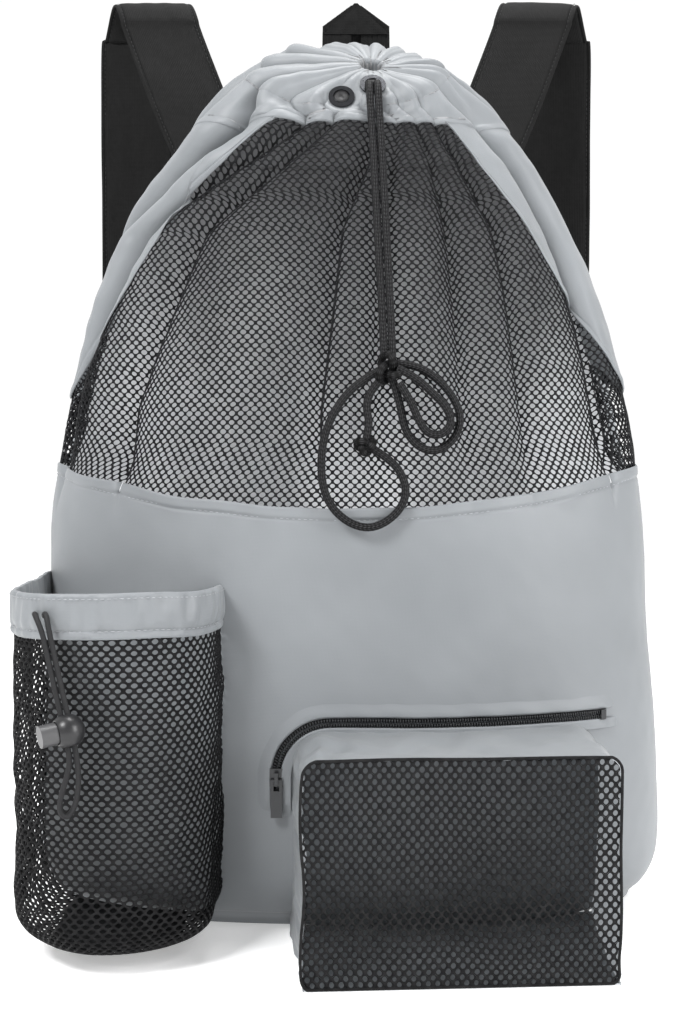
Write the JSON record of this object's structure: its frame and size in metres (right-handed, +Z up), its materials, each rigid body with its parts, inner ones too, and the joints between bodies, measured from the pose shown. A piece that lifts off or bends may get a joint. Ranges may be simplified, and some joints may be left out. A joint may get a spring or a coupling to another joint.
{
  "type": "drawstring backpack",
  "caption": "Filled drawstring bag with mesh upper panel, gathered mouth, bottle pocket, zip pocket, shoulder straps and knotted drawcord.",
  "frame": {"origin": "middle of the base on the surface the bag stands on", "axes": "+Z up, -Y towards the front panel with the pockets, +X to the right seen from the front"},
  "size_m": [0.3861, 0.35, 0.5903],
  "materials": {
    "fabric_grey": "smooth coated polyester, satin",
    "mesh_black": "knitted polyester mesh with oval holes",
    "mesh_bottle": "knitted polyester mesh with oval holes",
    "mesh_zip": "knitted polyester mesh with upright oval holes",
    "webbing_black": "ribbed polyester webbing, matte",
    "cord_black": "braided polyester cord",
    "elastic_black": "flat ribbed elastic",
    "gunmetal": "black nickel plated brass",
    "plastic_black": "satin moulded plastic",
    "zip_tape": "woven zipper tape",
    "zip_nylon": "nylon coil",
    "zip_metal": "black lacquered zinc"
  },
  "bodies": {
    "bag": {"base_panel": "fabric_grey", "front_panel": "fabric_grey", "back_panel": "fabric_grey", "drawcord_channel": "fabric_grey", "bottle_pocket_hem": "fabric_grey", "zip_pocket_top": "fabric_grey", "zip_pocket_gusset": "fabric_grey", "mesh_panel": "mesh_black", "bottle_pocket_mesh": "mesh_bottle", "zip_pocket_mesh": "mesh_zip", "hang_loop": "webbing_black", "strap_anchor_patch": "webbing_black", "shoulder_strap_left": "webbing_black", "shoulder_strap_right": "webbing_black", "lower_webbing_left": "webbing_black", "lower_webbing_right": "webbing_black", "corner_tab_left": "webbing_black", "corner_tab_right": "webbing_black", "drawcord_run_left": "cord_black", "drawcord_run_right": "cord_black", "drawcord_tail_loop": "cord_black", "drawcord_tail_short": "cord_black", "drawcord_bow_outer": "cord_black", "drawcord_bow_inner": "cord_black", "drawcord_knot_main": "cord_black", "drawcord_knot_stopper": "cord_black", "drawcord_in_channel": "cord_black", "elastic_tail": "elastic_black", "bottle_hem_elastic": "elastic_black", "eyelet_right": "gunmetal", "eyelet_left": "gunmetal", "eyelet_washer_right": "gunmetal", "eyelet_washer_left": "gunmetal", "ladder_lock_left": "plastic_black", "ladder_lock_right": "plastic_black", "zip_tape_bag": "zip_tape", "zip_tape_pocket": "zip_tape", "zip_chain": "zip_nylon", "zip_stop_lower": "zip_nylon", "zip_stop_upper": "zip_nylon"},
    "zip_slider": {"zip_slider": "zip_metal"},
    "zip_pull": {"zip_pull": "zip_metal"},
    "cord_lock": {"cord_lock_body": "plastic_black"},
    "cord_lock_plunger": {"cord_lock_plunger": "plastic_black"}
  },
  "joints": [
    {"name": "zip_slider_round_corner", "type": "hinge", "parent": "bag", "child": "zip_slider", "pos_m": [-0.01, -0.1134, 0.094], "axis": [0.0053, 0.9992, 0.0404], "range_deg": [0, 88]},
    {"name": "zip_pull_swing", "type": "hinge", "parent": "zip_slider", "child": "zip_pull", "pos_m": [-0.03943, -0.1194, 0.09264], "axis": [1, -0.0053, -0.0001], "range_deg": [-170, 0]},
    {"name": "cord_lock_slide", "type": "slide", "parent": "bag", "child": "cord_lock", "axis": [-0.2466, 0.1786, 0.9525], "range_m": [0, 0.036]},
    {"name": "cord_lock_press", "type": "slide", "parent": "cord_lock", "child": "cord_lock_plunger", "axis": [0.8795, 0.4541, 0.1426], "range_m": [0, 0.003], "stiffness_N_per_m": 400, "springref_m": -0.002}
  ]
}
